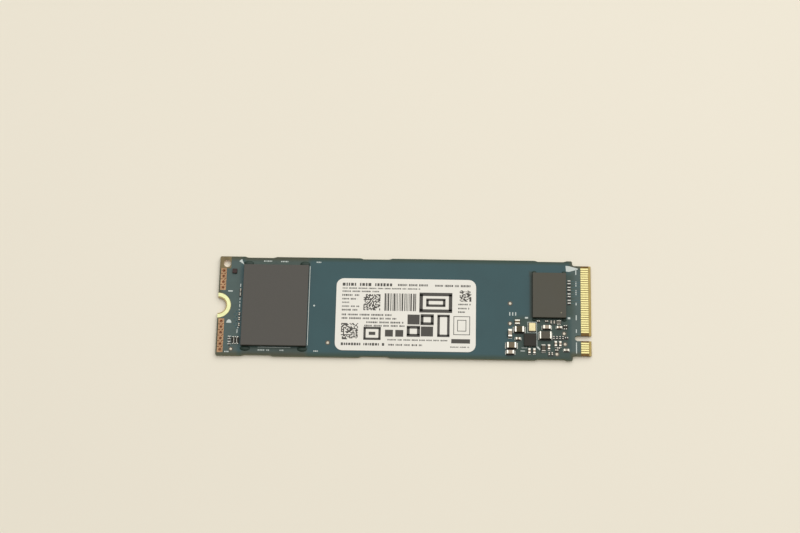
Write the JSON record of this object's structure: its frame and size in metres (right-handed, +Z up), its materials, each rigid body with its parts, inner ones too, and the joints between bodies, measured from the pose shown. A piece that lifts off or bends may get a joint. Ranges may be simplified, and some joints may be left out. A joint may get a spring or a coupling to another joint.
{
  "type": "gumstick solid state drive",
  "caption": "Slim plug-in storage card: a long thin circuit board with a keyed gold edge connector, a half-round screw notch, memory and controller packages and a paper label.",
  "frame": {"origin": "centre of the card on its underside", "axes": "+X along the card towards the edge connector, +Y across the card away from the key notch, +Z up from the underside to the parts"},
  "size_m": [0.08, 0.022, 0.0019],
  "materials": {
    "solder_mask_board": "satin solder mask over laminate",
    "gold_plating": "polished",
    "bare_copper": "dull",
    "tinned_pad": "dull",
    "mould_compound": "fine matt",
    "chip_moulding": "fine matt",
    "solder": "bright",
    "corner_adhesive": "glossy",
    "label_paper": "matt coated",
    "oscillator_ceramic": "matt",
    "gold_lid": "satin",
    "sensor_glass_epoxy": "glossy",
    "ferrite": "matt",
    "capacitor_ceramic": "matt body with bright tin ends",
    "resistor_glaze": "glazed body with bright tin ends"
  },
  "bodies": {
    "root": {"bypass_capacitor_1": "capacitor_ceramic", "bypass_capacitor_2": "capacitor_ceramic", "bypass_capacitor_3": "capacitor_ceramic", "bypass_capacitor_4": "capacitor_ceramic", "circuit_board": "solder_mask_board", "contact_fingers_bottom": "gold_plating", "contact_fingers_top": "gold_plating", "controller_package": "mould_compound", "controller_solder_balls": "solder", "corner_bonds": "corner_adhesive", "divider_resistor_1": "resistor_glaze", "divider_resistor_2": "resistor_glaze", "divider_resistor_3": "resistor_glaze", "divider_resistor_4": "resistor_glaze", "ferrite_bead": "ferrite", "flash_bypass_capacitors": "capacitor_ceramic", "flash_package": "mould_compound", "flash_solder_balls": "solder", "ground_strips": "bare_copper", "lane_capacitor_1": "capacitor_ceramic", "lane_capacitor_2": "capacitor_ceramic", "lane_capacitor_3": "capacitor_ceramic", "lane_capacitor_4": "capacitor_ceramic", "lane_capacitor_5": "capacitor_ceramic", "lane_capacitor_6": "capacitor_ceramic", "lane_capacitor_7": "capacitor_ceramic", "lane_capacitor_8": "capacitor_ceramic", "large_capacitor_1": "capacitor_ceramic", "large_capacitor_2": "capacitor_ceramic", "load_switch": "chip_moulding", "logic_chip_1": "chip_moulding", "logic_chip_2": "chip_moulding", "medium_capacitor_1": "capacitor_ceramic", "medium_capacitor_2": "capacitor_ceramic", "medium_capacitor_3": "capacitor_ceramic", "mounting_lands": "gold_plating", "oscillator_base": "oscillator_ceramic", "oscillator_lid": "gold_lid", "power_chip": "chip_moulding", "power_inductor": "ferrite", "product_label": "label_paper", "pull_up_resistor_1": "resistor_glaze", "pull_up_resistor_2": "resistor_glaze", "pull_up_resistor_3": "resistor_glaze", "pull_up_resistor_4": "resistor_glaze", "pull_up_resistor_5": "resistor_glaze", "small_capacitor_1": "capacitor_ceramic", "small_capacitor_2": "capacitor_ceramic", "small_capacitor_3": "capacitor_ceramic", "small_capacitor_4": "capacitor_ceramic", "small_capacitor_5": "capacitor_ceramic", "small_capacitor_6": "capacitor_ceramic", "small_capacitor_7": "capacitor_ceramic", "small_resistor": "resistor_glaze", "solder_fillets": "solder", "strap_resistors": "resistor_glaze", "temperature_sensor": "sensor_glass_epoxy", "test_pads": "tinned_pad", "wide_capacitor": "capacitor_ceramic"}
  },
  "joints": []
}
